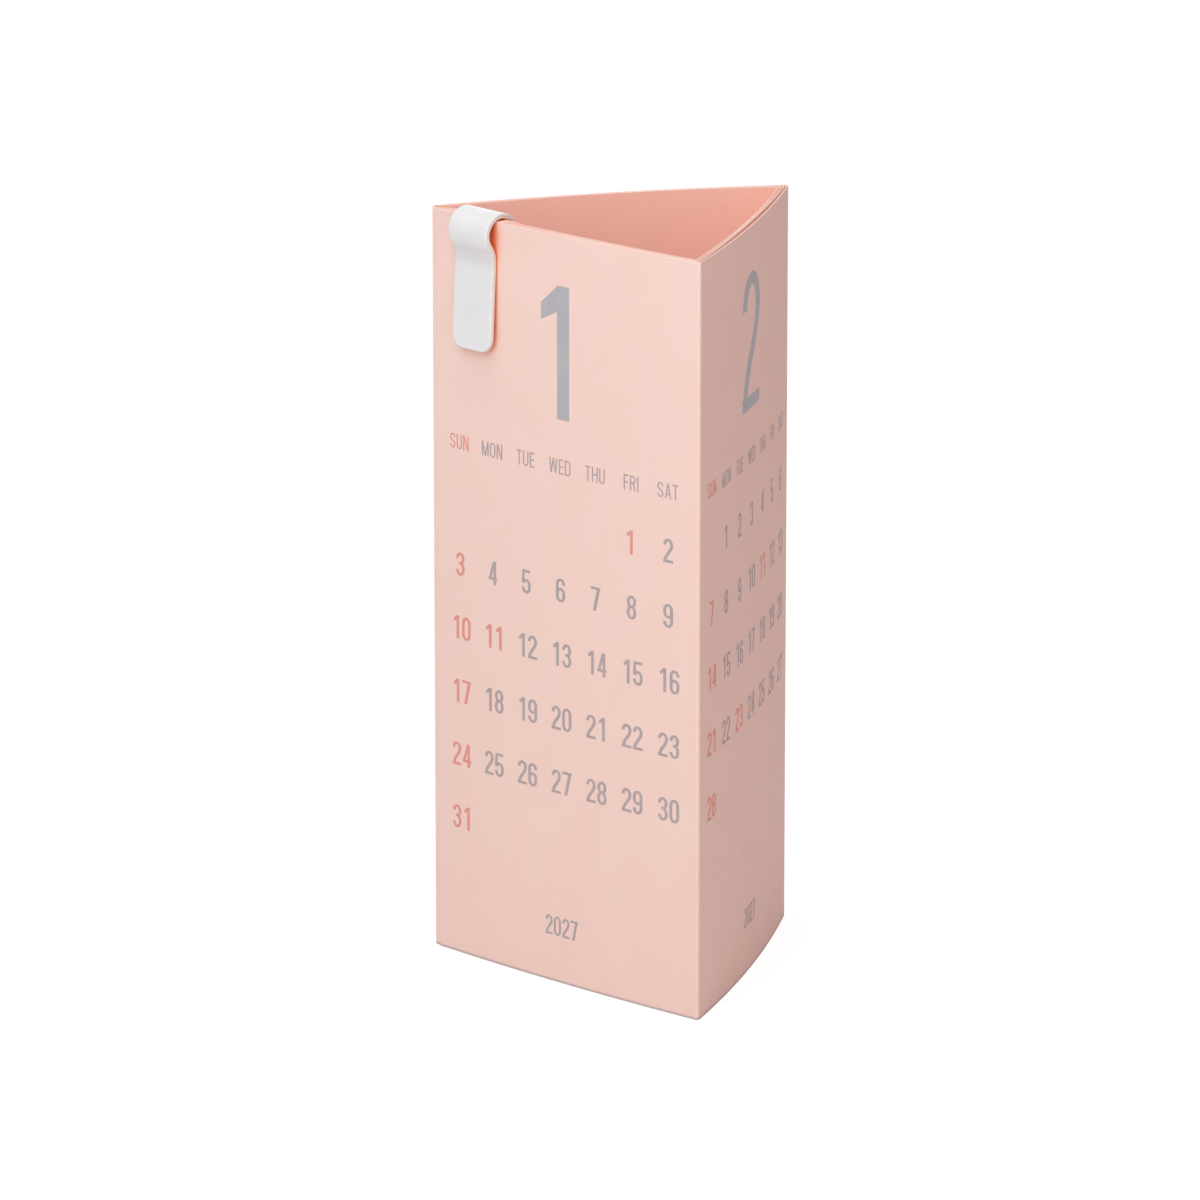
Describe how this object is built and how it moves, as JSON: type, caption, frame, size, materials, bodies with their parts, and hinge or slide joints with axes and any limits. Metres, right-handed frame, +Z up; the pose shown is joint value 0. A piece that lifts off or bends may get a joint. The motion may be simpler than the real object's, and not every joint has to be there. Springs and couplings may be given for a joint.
{
  "type": "triangular desk calendar",
  "caption": "Free-standing triangular desk calendar of nested folded cards, printed with large month numbers and dates, held by a bent plastic clip on the top edge.",
  "frame": {"origin": "middle of the bounding box, on the plane that the calendar stands on", "axes": "+X along the January panel, to the right for a viewer who faces it; +Y from the January panel towards the opposite crease; +Z up"},
  "size_m": [0.0996, 0.092, 0.2082],
  "materials": {
    "card": "matte",
    "clip": "satin",
    "grey_ink": "matte",
    "coral_ink": "matte"
  },
  "bodies": {
    "root": {"january_march_card": "card", "april_june_card": "card", "july_september_card": "card", "october_december_card": "card", "clip": "clip", "grey_print": "grey_ink", "coral_print": "coral_ink"}
  },
  "joints": []
}
